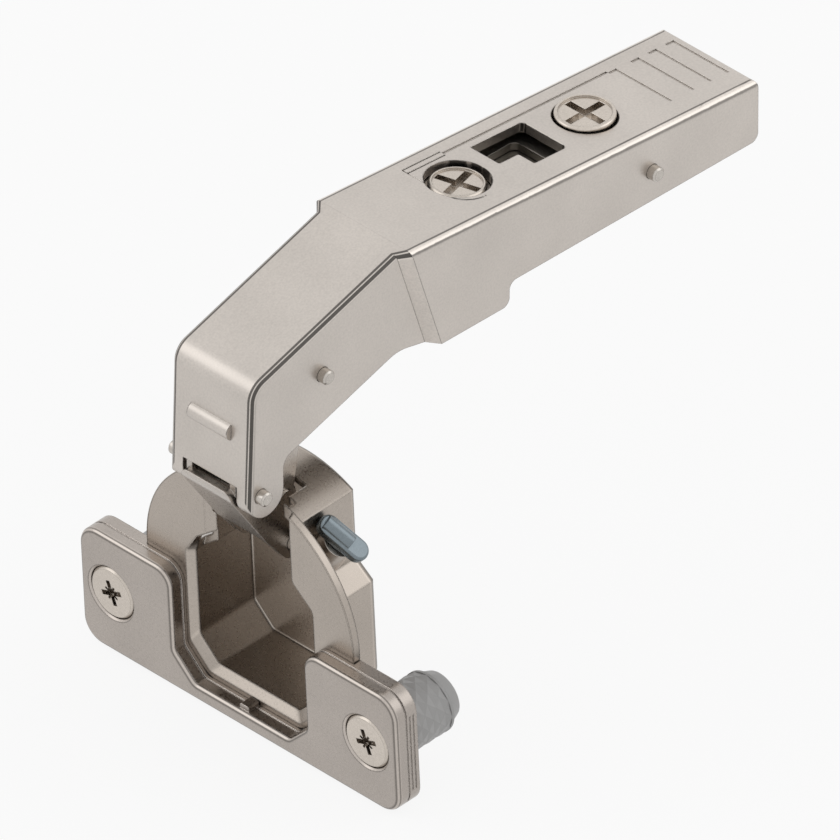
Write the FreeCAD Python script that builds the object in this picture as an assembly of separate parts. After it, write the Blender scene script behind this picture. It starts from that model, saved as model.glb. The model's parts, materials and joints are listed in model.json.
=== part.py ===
import FreeCAD, Part
import math
import os

# Concealed hinge with an angled clip-on arm, drawn open. Millimetres, +Z up.
# The origin lies on the seat face of the clip housing, under its web. +X runs along the arm
# to its rear end, Y is across the arm, and the cup hangs below the nose on the -X side.

V = FreeCAD.Vector
Y_AXIS = V(0, 1, 0)

# Clearances
PRESS_GAP = 0.02          # riveted pin in its hole, radial
RUN_GAP = 0.06            # turning eye on its pin, radial
SLIDE_GAP = 0.10          # between sliding sheets
SOCKET_GAP = 0.60         # round the side screw's head in the arm's top
CAM_GAP = 0.30            # round the depth cam's head in the arm's top
THREAD_GAP = 0.30         # round the side screw's shank in the adjuster
FACE_GAP = 0.12           # between parts that face each other

# Arm, folded from one sheet
ARM_SHEET = 1.4
REAR_WIDTH = 17.0
JOG_STEP = 1.4            # each side wall steps in by this much at the bend
REAR_FOLD_R = 1.05
FRONT_FOLD_R = 0.9
NOSE_FOLD_R = 3.0
BEND_X = -27.9            # top corner between the rear and the front section
BEND_Z = 7.18
REAR_SLOPE = 3.8          # degrees, falling to the rear
FRONT_SLOPE = 17.9        # degrees, falling to the nose
FRONT_LENGTH = 27.75
NOSE_LEAN = 1.8           # degrees
JOG_LENGTH = 1.4
LEVEL_START = 5.55        # along the front section, where its lower edge turns level
REACH_SPARE = 3.0         # construction depth below the arm's lowest edge
REAR_END_X = 33.3
WALL_EDGE_Z = -5.75
STEP_X = -10.7
DEEP_EDGE_Z = -9.15
EDGE_R = 1.2
NOSE_EDGE_Z = -16.8
EAR_BOTTOM_Z = -21.35
EAR_REAR_X = -49.0
FRONT_EDGE_DROP = 13.9    # height of the front section's side wall, square to its top
BAR_LENGTH = 7.0
BAR_HEIGHT = 2.3
BAR_PROUD = 0.8
BAR_ABOVE_EDGE = 7.6

# Places along the rear section's top, from the bend
SIDE_SCREW_S = 16.6
CAM_S = 39.1
WINDOW_START_S = 23.0
WINDOW_STEP_S = 26.4
WINDOW_END_S = 32.2
WINDOW_FAR_Y = 4.2
WINDOW_MID_Y = -0.9
WINDOW_NEAR_Y = -3.7
WINDOW_R = 0.8
GRIP_LINES_S = (49.6, 53.6, 56.7, 59.8)
GRIP_FAR_Y = 5.3
GRIP_NEAR_Y = -4.5
GRIP_FOOT = 1.1
LINE_WIDTH = 0.35
LINE_DEPTH = 0.2
LIP_START_S = 12.7         # pressed slot with lips, and the line that goes on from it
LIP_END_S = 19.4
LIP_FAR_Y = 6.0
LIP_NEAR_Y = 4.9
PANEL_NEAR_Y = -5.1      # panel line round the side screw
PANEL_R = 3.6

# Pins
PIN_R = 1.0
PIN_PROUD = 1.3
PIN_A_X, PIN_A_Z = -52.95, -17.8
PIN_B_X, PIN_B_Z = -42.1, -4.75
REAR_PIN_X, REAR_PIN_Z = 14.46, -1.31
NOTCH_HALF = 4.7          # the nose is cut away under its edge, between the ears

# Clip housing and adjuster, nested channels inside the arm
CLIP_SHEET = 1.3
CLIP_WEB = 1.2
CLIP_WEB_REAR_X = 13.2
CLIP_FRONT_X = -19.0
CLIP_REAR_X = 27.0
CLIP_WALL_Z = -5.6
HOOK_DEPTH = 3.2
HOOK_MOUTH = 3.0
ADJ_SHEET = 1.0
ADJ_WEB = 1.1
ADJ_FRONT_X = -18.0
ADJ_REAR_X = 18.5
ADJ_FLANGE_FRONT_X = 9.0
ADJ_FLANGE_Z = -3.8
ADJ_WINDOW_R = 1.0
ADJ_WINDOW_RIM = 2.4      # left each side of the adjuster's own window
CAM_TURN = 40.0           # degrees each way from rest
CAM_THROW = 3.0

# Adjusting screws
SCREW_HEAD_R = 3.75
SCREW_HEAD_T = 1.2
SCREW_SUNK = 0.35
SCREW_COLLAR = 0.9
SCREW_SHANK_R = 2.3
SCREW_REACH = 9.2
CAM_HEAD_R = 3.95
CAM_PROUD = 0.75
CAM_NECK_R = 2.8
CAM_PIN_R = 1.2
DISH_MARGIN = 0.5         # rim round the dished face of a screw head
DISH_DEPTH = 0.25
CROSS_HALF = 3.05
CROSS_WIDTH = 1.1
CROSS_DEPTH = 1.3

# Release lever
RELEASE_X, RELEASE_Z = 22.8, -2.0
RELEASE_PIN_R = 1.0
RELEASE_R = 3.9
RELEASE_THICK = 3.0
RELEASE_FLAT = 1.6        # the hub is flat this far above its pin
RELEASE_NECK = 0.6
RELEASE_LOW = 3.6
RELEASE_WELL_HALF = 1.6   # well of the spring
RELEASE_SLOT = 6.5
RELEASE_SLOT_BACK = 1.2
HOOK_HEEL = 8.2           # places on the release lever's hook, ahead of its pin
HOOK_TIP = 10.0
HOOK_LIP = 7.6
HOOK_DROP = 0.3
HOOK_TIP_LOW = 2.4
HOOK_R = 0.6
HOOK_TIP_R = 0.5
HOOK_LIP_R = 0.8
THUMB_REACH = 9.6
THUMB_HIGH = 0.6
THUMB_LOW = 1.4
THUMB_R = 0.8
RELEASE_TURN = 8.0        # degrees
SPRING_WIRE = 0.5

# Cup frame: tilted about Y, origin midway between the plate's screws on its front face
CUP_TILT = 3.09           # degrees
CUP_X, CUP_Z = -50.0, -49.05
PIN_C_D, PIN_C_B = 6.6, 18.33
PIN_D_D, PIN_D_B = 6.5, 24.6
PIN_CUP_R = 1.2

# Wing plate
PLATE_TOP = 8.6
PLATE_BOTTOM = -9.3
PLATE_THICK = 3.8
PLATE_R = 3.2
PLATE_EDGE_R = 0.7
MOUTH_HALF = 11.7
MOUTH_FLOOR = -7.0
MOUTH_CHAMFER = 3.4
MOUTH_TOP_R = 2.6
NIB_HALF = 0.8
NIB_HEIGHT = 0.7
PLATE_SCREW_Y = 22.5
PLATE_END = 5.45          # from the screw to the plate's end
PLATE_SCREW_R = 3.7
SEAT_BEVEL = 0.3
EDGE_GROOVE_X = 1.85      # fine groove round the plate's edge, from the front
END_GROOVES_X = (2.45, 3.05)
GROOVE_WIDTH = 0.25
GROOVE_DEPTH = 0.15
DOWEL_SEAT = 0.6          # depth of the dowel's seat in the plate's back

# Rim disc and pot
BORE_R = 17.4
DISC_R = 18.25
DISC_B = 9.5
DISC_FRONT = 2.65
DISC_THICK = 1.15
POT_SHEET = 0.95
POT_HALF = 11.2
POT_FLOOR = -6.0
POT_CHAMFER = 3.6
POT_DEPTH = 14.0
POT_R = 1.3
SHOULDER_B = 11.9
SHOULDER_RISE = 2.2
NECK_HALF = 8.4
NECK_SHORT = 0.3
NECK_R = 0.8
SLOT_NEAR_Y = 7.75        # the rim's slot for the levers is narrower on the far side
SLOT_NEAR_B = 16.0
SLOT_FAR_Y = 5.35
SLOT_FAR_B = 17.3
HOOK_Y = 9.2
HOOK_B = 14.3
RIM_HALF = 11.3
RIM_NEAR_B = 13.0
RIM_FAR_B = 11.2
RIM_FLOOR = -6.3
RIM_CHAMFER = 3.3
RIM_ROLL = 0.9            # the rim's opening is wider in front than the pot inside
LEVER_DOOR_HALF = 4.85
LEVER_DOOR_BACK = 8.7
LEVER_DOOR_WIDE = 6.0
LEVER_DOOR_STEP = 5.6

# Levers
OUTER_HALF = 4.3
OUTER_SHEET = 1.0
OUTER_FRONT = 2.7         # from the pin line to the outside of the web
OUTER_EYE_R = 2.1
OUTER_TOP_EYE_R = 1.6
OUTER_WEB_STOP = 4.6      # the web ends this far before pin C
KNUCKLE_R = 1.2
NOSE_RELIEF_R = 1.75      # coined hollow inside the nose's edge, round pin A
INNER_HALF = 3.1
INNER_SHEET = 1.0
INNER_EYE_R = 2.0
INNER_SHANK = 1.5
INNER_TOP_EYE_R = 2.6

# Damping
SWITCH_LENGTH = 7.6
SWITCH_WIDTH = 3.0
SWITCH_THICK = 1.5
SWITCH_POST_R = 1.4
SWITCH_POST_LENGTH = 1.7
BOSS_TOP_R = 2.1
BOSS_FOOT_R = 2.9
BOSS_LENGTH = 4.4
SWITCH_ANGLE = 46.5       # degrees round the disc's centre, from the near side
SWITCH_TILT = 20.5        # degrees, the upper end nearer the rim
SWITCH_RADIUS = 16.6
SWITCH_DEPTH = 8.2
PAD_LENGTH = 4.2
PAD_HEIGHT = 0.7
DAMPER_BACK = 0.35        # the damper's body stops this far before the neck's back
SLIDER_WIDE = 2.2
SLIDER_DEEP = 2.8
SLIDER_LOW = 17.6
SLIDER_HIGH = 22.4
SLIDER_TRAVEL = 2.4
NOSE_HIGH = 1.8
NOSE_DEEP = 1.1
DAMPER_WIRE = 0.4

# Dowels
DOWEL_R = 4.3
DOWEL_TIP_R = 3.3
DOWEL_STRAIGHT = 7.5
DOWEL_LENGTH = 9.4
DOWEL_BAND = 1.0           # plain band at the dowel's root
DOWEL_END_BAND = 0.4
DOWEL_COLLAR = 0.85        # reaches into the plate, under the screw's head
DOWEL_COLLAR_STEP = 0.7
DOWEL_BORE_R = 1.9
FACETS_ROUND = 12
FACET_BANDS = 6

DOWEL_BORE = DOWEL_STRAIGHT * 0.46
ARM_REACH = (BEND_Z - EAR_BOTTOM_Z) / math.cos(math.radians(FRONT_SLOPE)) + REACH_SPARE
PLATE_HALF = PLATE_SCREW_Y + PLATE_END
NECK_DEPTH = POT_DEPTH - NECK_SHORT
FRONT_WIDTH = REAR_WIDTH - 2 * JOG_STEP
REAR_HALF = REAR_WIDTH / 2
FRONT_HALF = FRONT_WIDTH / 2
CLIP_HALF = REAR_HALF - ARM_SHEET - SLIDE_GAP * 2 - ADJ_SHEET - FACE_GAP
ADJ_HALF = REAR_HALF - ARM_SHEET - SLIDE_GAP * 1.5
CAM_SLIDE = CAM_THROW * math.sin(math.radians(CAM_TURN))
ADJ_WEB_Z = CLIP_WEB + FACE_GAP
ADJ_TOP_Z = ADJ_WEB_Z + ADJ_WEB


def rounded_wire(points, place):
    """Closed wire through (u, v, radius) corners; place maps (u, v) to space."""
    count = len(points)
    starts, ends, mids = [], [], []
    for i, (u, v, radius) in enumerate(points):
        here = V(u, v, 0)
        before = V(points[i - 1][0], points[i - 1][1], 0) - here
        after = V(points[(i + 1) % count][0], points[(i + 1) % count][1], 0) - here
        before.normalize()
        after.normalize()
        half_turn = before.getAngle(after) / 2
        if radius <= 0:
            starts.append(here)
            ends.append(here)
            mids.append(None)
            continue
        back = radius / math.tan(half_turn)
        starts.append(here + before * back)
        ends.append(here + after * back)
        bisector = before + after
        bisector.normalize()
        mids.append(here + bisector * (radius / math.sin(half_turn) - radius))
    edges = []
    for i in range(count):
        if mids[i] is not None:
            arc = (place(starts[i]), place(mids[i]), place(ends[i]))
            edges.append(Part.Arc(*arc).toShape())
        a, b = place(ends[i]), place(starts[(i + 1) % count])
        if a.distanceToPoint(b) > 1e-6:
            edges.append(Part.LineSegment(a, b).toShape())
    return Part.Wire(edges)


def side_slab(points, half, y=0.0):
    """Slab of an XZ outline, half wide each way from y."""
    wire = rounded_wire(points, lambda p: V(p.x, y - half, p.y))
    return Part.Face(wire).extrude(V(0, 2 * half, 0))


def face_slab(points, depth, length):
    """Slab of a YZ outline, from x = depth over length."""
    wire = rounded_wire(points, lambda p: V(depth, p.x, p.y))
    return Part.Face(wire).extrude(V(length, 0, 0))


def cross_rod(radius, half, x, z, y=0.0):
    return Part.makeCylinder(radius, 2 * half, V(x, y - half, z), Y_AXIS)


def block(x0, x1, y0, y1, z0, z1):
    return Part.makeBox(x1 - x0, y1 - y0, z1 - z0, V(x0, y0, z0))


def rail(shape):
    """From the frame on the rear section's top to the row's frame."""
    out = shape.copy()
    turn = FreeCAD.Rotation(Y_AXIS, REAR_SLOPE)
    out.transformShape(FreeCAD.Placement(V(BEND_X, 0, BEND_Z), turn).toMatrix())
    return out


def cup(shape):
    """From the cup's frame (depth, across, up) to the row's frame."""
    out = shape.copy()
    turn = FreeCAD.Rotation(Y_AXIS, -CUP_TILT)
    out.transformShape(FreeCAD.Placement(V(CUP_X, 0, CUP_Z), turn).toMatrix())
    return out


def cup_point(depth, up):
    tilt = math.radians(CUP_TILT)
    x = CUP_X + depth * math.cos(tilt) - up * math.sin(tilt)
    z = CUP_Z + depth * math.sin(tilt) + up * math.cos(tilt)
    return x, z


def soften(shape, radius, pick):
    edges = [e for e in shape.Edges if pick(e)]
    return shape.makeFillet(radius, edges)


def front_way():
    slope = math.radians(FRONT_SLOPE)
    return V(-math.cos(slope), 0, -math.sin(slope)), V(math.sin(slope), 0, -math.cos(slope))


def on_front(along, drop):
    """Point of the front section: along from the bend to the nose, and drop square to its top."""
    way, down = front_way()
    p = V(BEND_X, 0, BEND_Z) + way * along + down * drop
    return p.x, p.z


def rear_top_z(x):
    return BEND_Z - (x - BEND_X) * math.tan(math.radians(REAR_SLOPE))


def drop_to(along, z):
    """How far down the front section's cross line at along the height z lies."""
    return (on_front(along, 0)[1] - z) / math.cos(math.radians(FRONT_SLOPE))


def nose_x(z):
    corner_x, corner_z = on_front(FRONT_LENGTH, 0)
    return corner_x - (corner_z - z) * math.tan(math.radians(NOSE_LEAN))


def rear_outline():
    foot = on_front(0, drop_to(0, DEEP_EDGE_Z))
    return [(BEND_X, BEND_Z, 0), (REAR_END_X, rear_top_z(REAR_END_X), 0.6),
            (REAR_END_X, WALL_EDGE_Z, EDGE_R), (STEP_X, WALL_EDGE_Z, EDGE_R),
            (STEP_X, DEEP_EDGE_Z, EDGE_R), (foot[0], foot[1], 0)]


def front_outline():
    start = on_front(JOG_LENGTH, 0)
    corner = on_front(FRONT_LENGTH, 0)
    ear_r = (EAR_REAR_X - nose_x(EAR_BOTTOM_Z)) / 2 * 0.98
    slope = math.tan(math.radians(FRONT_SLOPE))
    level_x, level_z = on_front(LEVEL_START, FRONT_EDGE_DROP)
    foot = on_front(JOG_LENGTH, drop_to(JOG_LENGTH, DEEP_EDGE_Z + 0.4))
    return [(start[0], start[1], 0), (corner[0], corner[1], NOSE_FOLD_R),
            (nose_x(EAR_BOTTOM_Z), EAR_BOTTOM_Z, ear_r), (EAR_REAR_X, EAR_BOTTOM_Z, ear_r),
            (EAR_REAR_X, level_z - (level_x - EAR_REAR_X) * slope, 2.0),
            (level_x, level_z, 6.0), (foot[0], foot[1], 0)]


def section(x, z, down, half, fold):
    """Wire across the arm: a channel's outside with folded top corners."""
    top = V(x, 0, z)
    points = [(-half, 0, fold), (half, 0, fold), (half, ARM_REACH, 0), (-half, ARM_REACH, 0)]
    return rounded_wire(points, lambda p: top + V(0, p.x, 0) + down * p.y)


def front_section(along, half, fold, sheet):
    x, z = on_front(along, sheet)
    return section(x, z, front_way()[1], half, fold)


def rear_solid(sheet, fold):
    """Rear section past its end, from the bend's cross section to an upright one."""
    end_x = REAR_END_X + 5
    end_z = rear_top_z(end_x) - sheet / math.cos(math.radians(REAR_SLOPE))
    half = REAR_HALF - sheet
    end = section(end_x, end_z, V(0, 0, -1), half, fold)
    return Part.makeLoft([front_section(0, half, fold, sheet), end], True, True)


def jog_solid(sheet, rear_fold, front_fold):
    """Step in width between the two sections."""
    wide = front_section(0, REAR_HALF - sheet, rear_fold, sheet)
    slim = front_section(JOG_LENGTH, FRONT_HALF - sheet, front_fold, sheet)
    return Part.makeLoft([wide, slim], True, True)


def front_inside():
    start = on_front(JOG_LENGTH, ARM_SHEET)
    corner = on_front(FRONT_LENGTH - ARM_SHEET, ARM_SHEET)
    foot = on_front(JOG_LENGTH, ARM_SHEET + ARM_REACH)
    outline = [(start[0], start[1], 0), (corner[0], corner[1], NOSE_FOLD_R - ARM_SHEET),
               (nose_x(foot[1]) + ARM_SHEET, foot[1], 0), (foot[0], foot[1], 0)]
    return side_slab(outline, FRONT_HALF - ARM_SHEET)


def rear_envelope():
    return rear_solid(0, REAR_FOLD_R).common(side_slab(rear_outline(), REAR_HALF + 1))


def jog_envelope():
    foot0 = on_front(0, drop_to(0, DEEP_EDGE_Z))
    foot1 = on_front(JOG_LENGTH, drop_to(JOG_LENGTH, DEEP_EDGE_Z + 0.4))
    head0, head1 = on_front(0, -1), on_front(JOG_LENGTH, -1)
    keep = side_slab([(head0[0], head0[1], 0), (foot0[0], foot0[1], 0),
                      (foot1[0], foot1[1], 0), (head1[0], head1[1], 0)], REAR_HALF + 1)
    return jog_solid(0, REAR_FOLD_R, FRONT_FOLD_R).common(keep)


def front_envelope():
    """Bent section's outside: folded edges round the top and the nose, trimmed to the outline."""
    start = on_front(JOG_LENGTH, 0)
    corner = on_front(FRONT_LENGTH, 0)
    foot = on_front(JOG_LENGTH, ARM_REACH)
    raw = side_slab([(start[0], start[1], 0), (corner[0], corner[1], NOSE_FOLD_R),
                     (nose_x(foot[1]), foot[1], 0), (foot[0], foot[1], 0)], FRONT_HALF)

    def along_fold(edge):
        box = edge.BoundBox
        outer = box.YLength < 0.01 and abs(box.YMin) > FRONT_HALF - 0.01
        at_foot = box.ZMax < foot[1] + 0.1
        at_jog = box.XMax > start[0] + 0.5
        return outer and not at_foot and not at_jog

    raw = soften(raw, FRONT_FOLD_R, along_fold)
    return raw.common(side_slab(front_outline(), FRONT_HALF + 1))


def arm_blank():
    outer = rear_envelope().fuse([jog_envelope(), front_envelope()])
    inner = rear_solid(ARM_SHEET, 0).fuse([jog_solid(ARM_SHEET, 0, 0), front_inside()])
    return outer.cut(inner).removeSplitter()


def nose_bar():
    """Raised bar on the nose: a round-ended half cylinder, sunk into the sheet."""
    z = NOSE_EDGE_Z + BAR_ABOVE_EDGE
    radius = (BAR_HEIGHT ** 2 / 4 + BAR_PROUD ** 2) / (2 * BAR_PROUD)
    x = nose_x(z) - BAR_PROUD + radius
    rod = cross_rod(radius, BAR_LENGTH / 2, x, z)
    front = block(x - radius - 1, nose_x(z) + ARM_SHEET / 2, -BAR_LENGTH, BAR_LENGTH,
                  z - BAR_HEIGHT, z + BAR_HEIGHT)
    return rod.common(front)


def window_cut():
    deep = ARM_SHEET * 4
    points = [(WINDOW_START_S, WINDOW_FAR_Y, 0.3), (WINDOW_END_S, WINDOW_FAR_Y, WINDOW_R),
              (WINDOW_END_S, WINDOW_NEAR_Y, WINDOW_R), (WINDOW_STEP_S, WINDOW_NEAR_Y, 0.3),
              (WINDOW_STEP_S, WINDOW_MID_Y, 0.3), (WINDOW_START_S, WINDOW_MID_Y, 0.3)]
    wire = rounded_wire(points, lambda p: V(p.x, p.y, -deep / 2))
    return Part.Face(wire).extrude(V(0, 0, deep))


def grip_lines():
    """Pressed finger lines across the rear end of the top, each with a short foot."""
    cuts = []
    floor = -LINE_DEPTH
    for s in GRIP_LINES_S:
        cuts.append(block(s, s + LINE_WIDTH, GRIP_NEAR_Y, GRIP_FAR_Y, floor, 1))
        cuts.append(block(s - GRIP_FOOT, s, GRIP_FAR_Y - LINE_WIDTH, GRIP_FAR_Y, floor, 1))
    return cuts


def panel_lines():
    """Pressed lines of the top: a slot with lips, a line to the grip and one round the screw."""
    middle = (LIP_FAR_Y + LIP_NEAR_Y) / 2
    thin = LINE_WIDTH / 2
    groove = []
    for y in (LIP_NEAR_Y, LIP_FAR_Y - thin):
        groove.append(block(LIP_START_S, LIP_END_S, y, y + thin, -LINE_DEPTH, 1))
    groove.append(block(LIP_START_S, LIP_START_S + thin, LIP_NEAR_Y, LIP_FAR_Y, -LINE_DEPTH, 1))
    groove.append(block(LIP_END_S, GRIP_LINES_S[0] - GRIP_FOOT, middle - thin, middle + thin,
                        -LINE_DEPTH, 1))

    def panel(inset):
        start, near = LIP_START_S + inset, PANEL_NEAR_Y + inset
        radius = PANEL_R - inset
        points = [(start, LIP_NEAR_Y, 0), (start, near, radius), (SIDE_SCREW_S, near, 0),
                  (SIDE_SCREW_S, LIP_NEAR_Y, 0)]
        wire = rounded_wire(points, lambda p: V(p.x, p.y, -LINE_DEPTH / 2))
        return Part.Face(wire).extrude(V(0, 0, 1))

    groove.append(panel(0).cut(panel(thin)))
    return groove


def arm_channel():
    arm = arm_blank()
    gap = block(nose_x(EAR_BOTTOM_Z) - 5, nose_x(NOSE_EDGE_Z) + ARM_SHEET + 0.3,
                -NOTCH_HALF, NOTCH_HALF, EAR_BOTTOM_Z - 5, NOSE_EDGE_Z)
    relief = cross_rod(NOSE_RELIEF_R, NOTCH_HALF, PIN_A_X, PIN_A_Z)
    cuts = [gap, relief]
    cuts.append(cross_rod(PIN_R + PRESS_GAP, REAR_WIDTH, PIN_A_X, PIN_A_Z))
    cuts.append(cross_rod(PIN_R + PRESS_GAP, REAR_WIDTH, PIN_B_X, PIN_B_Z))
    cuts.append(cross_rod(PIN_R + PRESS_GAP, REAR_WIDTH, REAR_PIN_X, REAR_PIN_Z))
    through = 2 * ARM_SHEET
    head = Part.makeCylinder(SCREW_HEAD_R + SOCKET_GAP, 2 * through, V(SIDE_SCREW_S, 0, -through))
    cam = Part.makeCylinder(CAM_HEAD_R + CAM_GAP, 2 * through, V(CAM_S, 0, -through))
    cuts += [rail(c) for c in [head, cam, window_cut()] + grip_lines() + panel_lines()]
    arm = arm.cut(cuts)
    return arm.fuse(nose_bar()).removeSplitter()


def rivet(half, x, z):
    """Pin through both walls, with rounded ends that stand proud."""
    pin = cross_rod(PIN_R, half + PIN_PROUD, x, z)
    return pin.makeChamfer(0.25, [e for e in pin.Edges if e.BoundBox.YLength < 0.01])


def cross_recess(half, width, depth):
    """Cross of a screw head, cut down from z = 0."""
    a = block(-half, half, -width / 2, width / 2, -depth, 1)
    b = block(-width / 2, width / 2, -half, half, -depth, 1)
    return a.fuse(b)


def dished(head_r, top):
    """Cut that leaves a rim round a screw head's face at the height top."""
    return Part.makeCylinder(head_r - DISH_MARGIN, DISH_DEPTH + 1, V(0, 0, top - DISH_DEPTH))


def side_screw():
    """Sunk screw whose thread passes through the adjuster; its turn tilts the arm."""
    head = Part.makeCylinder(SCREW_HEAD_R, SCREW_HEAD_T, V(0, 0, -SCREW_HEAD_T))
    head = head.makeChamfer(0.3, [e for e in head.Edges if e.CenterOfMass.z > -0.01
                                  and len(e.Vertexes) == 1])
    shank = Part.makeCylinder(SCREW_SHANK_R, SCREW_REACH, V(0, 0, -SCREW_REACH))
    collar = Part.makeCylinder(SCREW_HEAD_R + SCREW_COLLAR, 0.8, V(0, 0, 0))
    collar.translate(V(0, 0, SCREW_SUNK - ARM_SHEET - FACE_GAP - 0.8))
    cross = cross_recess(CROSS_HALF, CROSS_WIDTH, CROSS_DEPTH)
    body = head.fuse([shank, collar]).cut([cross, dished(SCREW_HEAD_R, 0)])
    body.rotate(V(0, 0, 0), V(0, 0, 1), 17)
    body.translate(V(SIDE_SCREW_S, 0, -SCREW_SUNK))
    return rail(body.removeSplitter())


def screw_axis_x(z):
    """Where the side screw's tilted axis passes the height z."""
    top = rail(Part.Vertex(SIDE_SCREW_S, 0, 0)).Point
    return top.x - (top.z - z) * math.tan(math.radians(REAR_SLOPE))


def cam_place():
    p = rail(Part.Vertex(CAM_S, 0, 0)).Point
    return p.x, p.z


def depth_cam():
    """Raised screw with an off-centre pin in the clip housing's slot; its turn slides the arm."""
    x, top = cam_place()
    head_base = ADJ_TOP_Z + FACE_GAP
    head = Part.makeCylinder(CAM_HEAD_R, top + CAM_PROUD - head_base, V(0, 0, head_base))
    head = head.makeFillet(0.35, [e for e in head.Edges if len(e.Vertexes) == 1
                                  and e.CenterOfMass.z > top])
    neck = Part.makeCylinder(CAM_NECK_R, head_base - CLIP_WEB - 0.05, V(0, 0, CLIP_WEB + 0.05))
    pin = Part.makeCylinder(CAM_PIN_R, CLIP_WEB, V(0, -CAM_THROW, FACE_GAP))
    lobe = Part.makeCylinder(CAM_THROW + CAM_PIN_R, ADJ_WEB + FACE_GAP,
                             V(0, 0, CLIP_WEB + 0.05))
    cross = cross_recess(CROSS_HALF, CROSS_WIDTH, CROSS_DEPTH)
    cross.translate(V(0, 0, top + CAM_PROUD))
    body = head.fuse([neck, lobe, pin])
    body = body.cut([cross, dished(CAM_HEAD_R, top + CAM_PROUD)]).removeSplitter()
    body.translate(V(x, 0, 0))
    return body


def clip_housing():
    """Channel that clips on the mounting plate: front hooks, seat web, slotted rear walls."""
    points = [(CLIP_FRONT_X, ADJ_WEB_Z - FACE_GAP, 1.0), (CLIP_REAR_X, ADJ_WEB_Z - FACE_GAP, 2.0),
              (CLIP_REAR_X, CLIP_WALL_Z + 2.5, 1.5), (CLIP_REAR_X - 8, CLIP_WALL_Z, 1.5),
              (CLIP_FRONT_X, CLIP_WALL_Z, 1.0)]
    body = side_slab(points, CLIP_HALF)
    inside = CLIP_HALF - CLIP_SHEET
    web_front = screw_axis_x(0) + SCREW_SHANK_R + CAM_SLIDE + 0.6
    cuts = [block(CLIP_FRONT_X - 1, CLIP_REAR_X + 1, -inside, inside, CLIP_WALL_Z - 1, 0),
            block(CLIP_WEB_REAR_X, CLIP_REAR_X + 1, -inside, inside, -1, 5),
            block(CLIP_FRONT_X - 1, web_front, -inside, inside, -1, 5)]
    hook_z = (CLIP_WALL_Z - 0.6) / 2
    mouth = block(CLIP_FRONT_X - 1, CLIP_FRONT_X + HOOK_DEPTH, -CLIP_HALF - 1, CLIP_HALF + 1,
                  hook_z - HOOK_MOUTH / 2, hook_z + HOOK_MOUTH / 2)
    mouth = mouth.fuse(cross_rod(HOOK_MOUTH / 2, CLIP_HALF + 1, CLIP_FRONT_X + HOOK_DEPTH, hook_z))
    cuts.append(mouth)
    for x in (REAR_PIN_X - CAM_SLIDE, REAR_PIN_X + CAM_SLIDE):
        cuts.append(cross_rod(PIN_R + 0.15, CLIP_HALF + 1, x, REAR_PIN_Z))
    r = PIN_R + 0.15
    cuts.append(block(REAR_PIN_X - CAM_SLIDE, REAR_PIN_X + CAM_SLIDE, -CLIP_HALF - 1,
                      CLIP_HALF + 1, REAR_PIN_Z - r, REAR_PIN_Z + r))
    cuts.append(cross_rod(RELEASE_PIN_R + PRESS_GAP, CLIP_HALF + 1, RELEASE_X, RELEASE_Z))
    cam_x, _ = cam_place()
    half = CAM_PIN_R + 0.12
    cuts.append(block(cam_x - half, cam_x + half, -CAM_THROW - CAM_PIN_R - 0.15,
                      -CAM_THROW * math.cos(math.radians(CAM_TURN)) + CAM_PIN_R + 0.15, -1, 5))
    return body.cut(cuts).removeSplitter()


def adjuster_plate():
    """Plate between the arm and the clip housing, with flanges that hang on the rear pin."""
    web = block(ADJ_FRONT_X, ADJ_REAR_X, -ADJ_HALF, ADJ_HALF, ADJ_WEB_Z, ADJ_TOP_Z)
    parts = [web]
    for side in (-1, 1):
        y0 = side * ADJ_HALF if side < 0 else ADJ_HALF - ADJ_SHEET
        points = [(ADJ_FLANGE_FRONT_X, ADJ_TOP_Z, 0), (ADJ_REAR_X, ADJ_TOP_Z, 0),
                  (ADJ_REAR_X, ADJ_FLANGE_Z, 2.0), (ADJ_FLANGE_FRONT_X, ADJ_FLANGE_Z, 2.0)]
        parts.append(side_slab(points, ADJ_SHEET / 2, y0 + ADJ_SHEET / 2))
    body = parts[0].fuse(parts[1:])
    cam_x, _ = cam_place()
    through = 3 * ADJ_TOP_Z
    cuts = [Part.makeCylinder(CAM_THROW + CAM_PIN_R + RUN_GAP, through, V(cam_x, 0, 0))]
    screw_x = screw_axis_x((ADJ_WEB_Z + ADJ_TOP_Z) / 2)
    cuts.append(Part.makeCylinder(SCREW_SHANK_R + THREAD_GAP, through, V(screw_x, 0, 0)))
    start = rail(Part.Vertex(WINDOW_START_S, 0, 0)).Point.x
    end = rail(Part.Vertex(WINDOW_END_S, 0, 0)).Point.x
    end -= ADJ_WINDOW_R
    side = ADJ_HALF - ADJ_WINDOW_RIM
    points = [(start, side, ADJ_WINDOW_R), (end, side, ADJ_WINDOW_R),
              (end, -side, ADJ_WINDOW_R), (start, -side, ADJ_WINDOW_R)]
    wire = rounded_wire(points, lambda p: V(p.x, p.y, 0))
    cuts.append(Part.Face(wire).extrude(V(0, 0, through)))
    cuts.append(cross_rod(PIN_R + RUN_GAP, REAR_WIDTH, REAR_PIN_X, REAR_PIN_Z))
    return body.cut(cuts).removeSplitter()


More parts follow.
